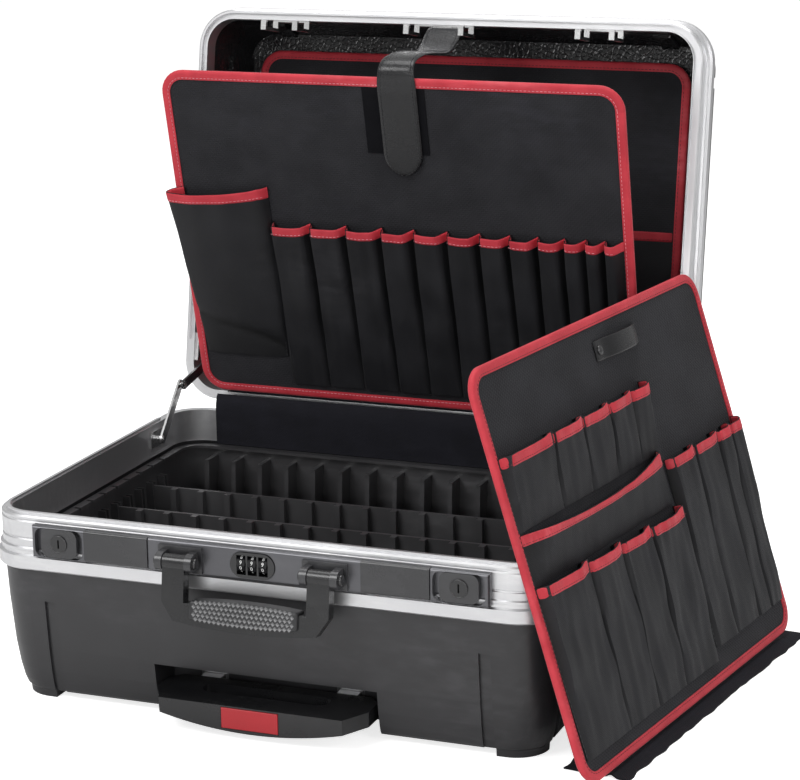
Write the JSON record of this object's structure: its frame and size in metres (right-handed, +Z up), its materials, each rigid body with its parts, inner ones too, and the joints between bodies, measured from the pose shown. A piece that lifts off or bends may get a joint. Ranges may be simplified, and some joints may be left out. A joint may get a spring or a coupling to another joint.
{
  "type": "hard tool case",
  "caption": "Hard tool case with an open hinged lid on stays, latches and locks, carry and pull-out handles, wheels, a divided tray and pocket boards.",
  "frame": {"origin": "middle of the base's footprint at floor level", "axes": "+X right along the front as seen from the front, +Y back towards the hinge, +Z up"},
  "size_m": [0.603, 0.5624, 0.5247],
  "materials": {
    "moulded_shell": "fine grained, slightly glossy, near black",
    "frame_aluminium": "bright, satin, drawn lines",
    "lock_metal": "satin dark grey",
    "bright_steel": "bright",
    "dark_steel": "semi-gloss black",
    "tube_metal": "satin",
    "gloss_black": "glossy black",
    "matte_black": "matt dark grey",
    "grip_rubber": "matt, dimpled",
    "wheel_tread": "matt",
    "red_button": "matt red",
    "board_panel": "stiff board under dark woven cloth",
    "pocket_cloth": "dark grey woven cloth",
    "red_binding": "salmon red tape with a stitched line"
  },
  "bodies": {
    "base": {"base_shell": "moulded_shell", "wheel_housings": "moulded_shell", "wheel_axles": "bright_steel", "base_frame": "frame_aluminium", "hinge_leaf_base": "bright_steel", "hinge_and_lock_pins": "bright_steel", "lock_bar": "lock_metal", "combination_housing": "dark_steel", "handle_brackets": "lock_metal", "handle_pins": "bright_steel", "outer_tubes": "tube_metal", "trolley_mounts": "matte_black", "stay_base_brackets": "bright_steel", "base_tray": "gloss_black", "rear_flap": "pocket_cloth", "loose_board_flap": "pocket_cloth"},
    "wheel_right": {"wheel_hub_right": "matte_black", "wheel_tyre_right": "wheel_tread"},
    "wheel_left": {"wheel_hub_left": "matte_black", "wheel_tyre_left": "wheel_tread"},
    "lid": {"lid_shell": "moulded_shell", "lid_frame": "frame_aluminium", "hinge_leaf_lid": "bright_steel", "stay_lid_brackets": "bright_steel", "lid_catches": "bright_steel", "lid_stand_feet": "moulded_shell", "board_hinge_strip": "pocket_cloth", "lid_strap": "pocket_cloth"},
    "latch_lever_right": {"latch_lever_right": "lock_metal"},
    "latch_lever_left": {"latch_lever_left": "lock_metal"},
    "key_slide_right": {"key_slide_right": "lock_metal"},
    "key_slide_left": {"key_slide_left": "lock_metal"},
    "key_cylinder_right": {"key_cylinder_right": "dark_steel"},
    "key_cylinder_left": {"key_cylinder_left": "dark_steel"},
    "dial_1": {"dial_1": "gloss_black"},
    "dial_2": {"dial_2": "gloss_black"},
    "dial_3": {"dial_3": "gloss_black"},
    "carry_handle": {"carry_handle": "matte_black", "carry_handle_grip": "grip_rubber"},
    "trolley_pull": {"trolley_handle": "matte_black", "button_spring": "bright_steel", "inner_tubes": "tube_metal"},
    "trolley_button": {"trolley_button": "red_button"},
    "trolley_middle": {"middle_tubes": "tube_metal"},
    "stay_lower_right": {"stay_lower_right": "bright_steel"},
    "stay_lower_left": {"stay_lower_left": "bright_steel"},
    "stay_upper_right": {"stay_upper_right": "dark_steel"},
    "stay_upper_left": {"stay_upper_left": "dark_steel"},
    "divider_front": {"divider_front": "matte_black"},
    "divider_rear": {"divider_rear": "matte_black"},
    "front_board": {"front_board": "board_panel", "front_board_binding": "red_binding", "front_pockets_left": "pocket_cloth", "front_pockets_right": "pocket_cloth"},
    "back_board": {"back_board": "board_panel", "back_board_pocket": "pocket_cloth"},
    "loose_board": {"loose_board": "board_panel", "loose_board_binding": "red_binding", "loose_pockets_upper": "pocket_cloth", "loose_pockets_lower": "pocket_cloth"}
  },
  "joints": [
    {"name": "lid_hinge", "type": "hinge", "parent": "base", "child": "lid", "pos_m": [0, 0.188, 0.1613], "axis": [1, 0, 0], "range_deg": [0, 100.2], "deforming": ["rear_flap"]},
    {"name": "front_board_tilt", "type": "hinge", "parent": "lid", "child": "front_board", "pos_m": [0, 0.17781, 0.17955], "axis": [-1, 0, 0], "range_deg": [0, 24], "deforming": ["lid_strap"]},
    {"name": "back_board_tilt", "type": "hinge", "parent": "lid", "child": "back_board", "pos_m": [0, 0.26952, 0.16995], "axis": [1, 0, 0], "range_deg": [0, 10]},
    {"name": "carry_handle_swing", "type": "hinge", "parent": "base", "child": "carry_handle", "pos_m": [0, -0.1985, 0.142], "axis": [-1, 0, 0], "range_deg": [0, 110]},
    {"name": "trolley_pull_slide", "type": "slide", "parent": "base", "child": "trolley_pull", "axis": [0, -1, 0], "range_m": [0, 0.43]},
    {"name": "trolley_middle_slide", "type": "slide", "parent": "base", "child": "trolley_middle", "axis": [0, -1, 0], "range_m": [0, 0.2151]},
    {"name": "trolley_button_push", "type": "slide", "parent": "trolley_pull", "child": "trolley_button", "axis": [0, 1, 0], "range_m": [0, 0.003], "stiffness_N_per_m": 600, "deforming": ["button_spring"]},
    {"name": "divider_front_lift", "type": "slide", "parent": "base", "child": "divider_front", "axis": [0, 0, 1], "range_m": [0, 0.018]},
    {"name": "divider_rear_lift", "type": "slide", "parent": "base", "child": "divider_rear", "axis": [0, 0, 1], "range_m": [0, 0.018]},
    {"name": "loose_board_turn", "type": "hinge", "parent": "base", "child": "loose_board", "pos_m": [0.2988, -0.2243, 0.003], "axis": [0.1478, 0.989, 0], "range_deg": [0, 108]},
    {"name": "stay_lower_right_swing", "type": "hinge", "parent": "base", "child": "stay_lower_right", "pos_m": [0.226, 0.1112, 0.1478], "axis": [1, 0, 0], "range_deg": [0, 100.3]},
    {"name": "stay_upper_right_swing", "type": "hinge", "parent": "lid", "child": "stay_upper_right", "pos_m": [0.222, 0.2276, 0.2032], "axis": [1, 0, 0], "range_deg": [-100.3, 0]},
    {"name": "latch_lever_right_turn", "type": "hinge", "parent": "base", "child": "latch_lever_right", "pos_m": [0.11975, -0.18705, 0.133], "axis": [1, 0, 0], "range_deg": [0, 60]},
    {"name": "key_slide_right_shift", "type": "slide", "parent": "base", "child": "key_slide_right", "axis": [-1, 0, 0], "range_m": [0, 0.005]},
    {"name": "key_cylinder_right_turn", "type": "hinge", "parent": "key_slide_right", "child": "key_cylinder_right", "pos_m": [0.1715, -0.187, 0.1425], "axis": [0, 1, 0], "range_deg": [0, 90]},
    {"name": "wheel_right_spin", "type": "hinge", "parent": "base", "child": "wheel_right", "pos_m": [0.194, 0.168, 0.027], "axis": [1, 0, 0], "continuous": true},
    {"name": "stay_lower_left_swing", "type": "hinge", "parent": "base", "child": "stay_lower_left", "pos_m": [-0.226, 0.1112, 0.1478], "axis": [1, 0, 0], "range_deg": [0, 100.3]},
    {"name": "stay_upper_left_swing", "type": "hinge", "parent": "lid", "child": "stay_upper_left", "pos_m": [-0.222, 0.2276, 0.2032], "axis": [1, 0, 0], "range_deg": [-100.3, 0]},
    {"name": "latch_lever_left_turn", "type": "hinge", "parent": "base", "child": "latch_lever_left", "pos_m": [-0.11975, -0.18705, 0.133], "axis": [1, 0, 0], "range_deg": [0, 60]},
    {"name": "key_slide_left_shift", "type": "slide", "parent": "base", "child": "key_slide_left", "axis": [1, 0, 0], "range_m": [0, 0.005]},
    {"name": "key_cylinder_left_turn", "type": "hinge", "parent": "key_slide_left", "child": "key_cylinder_left", "pos_m": [-0.1715, -0.187, 0.1425], "axis": [0, 1, 0], "range_deg": [0, 90]},
    {"name": "wheel_left_spin", "type": "hinge", "parent": "base", "child": "wheel_left", "pos_m": [-0.194, 0.168, 0.027], "axis": [1, 0, 0], "continuous": true},
    {"name": "dial_1_spin", "type": "hinge", "parent": "base", "child": "dial_1", "pos_m": [-0.0094, -0.1843, 0.1425], "axis": [1, 0, 0], "continuous": true},
    {"name": "dial_2_spin", "type": "hinge", "parent": "base", "child": "dial_2", "pos_m": [0, -0.1843, 0.1425], "axis": [1, 0, 0], "continuous": true},
    {"name": "dial_3_spin", "type": "hinge", "parent": "base", "child": "dial_3", "pos_m": [0.0094, -0.1843, 0.1425], "axis": [1, 0, 0], "continuous": true}
  ],
  "couplings": [
    {"joint": "front_board_tilt", "follows": "lid_hinge", "ratio": 0.2345},
    {"joint": "trolley_middle_slide", "follows": "trolley_pull_slide", "ratio": 0.5},
    {"joint": "loose_board_turn", "follows": "lid_hinge", "ratio": 1.07},
    {"joint": "stay_lower_right_swing", "follows": "lid_hinge", "ratio": 1},
    {"joint": "stay_upper_right_swing", "follows": "lid_hinge", "ratio": -1},
    {"joint": "stay_lower_left_swing", "follows": "lid_hinge", "ratio": 1},
    {"joint": "stay_upper_left_swing", "follows": "lid_hinge", "ratio": -1}
  ]
}
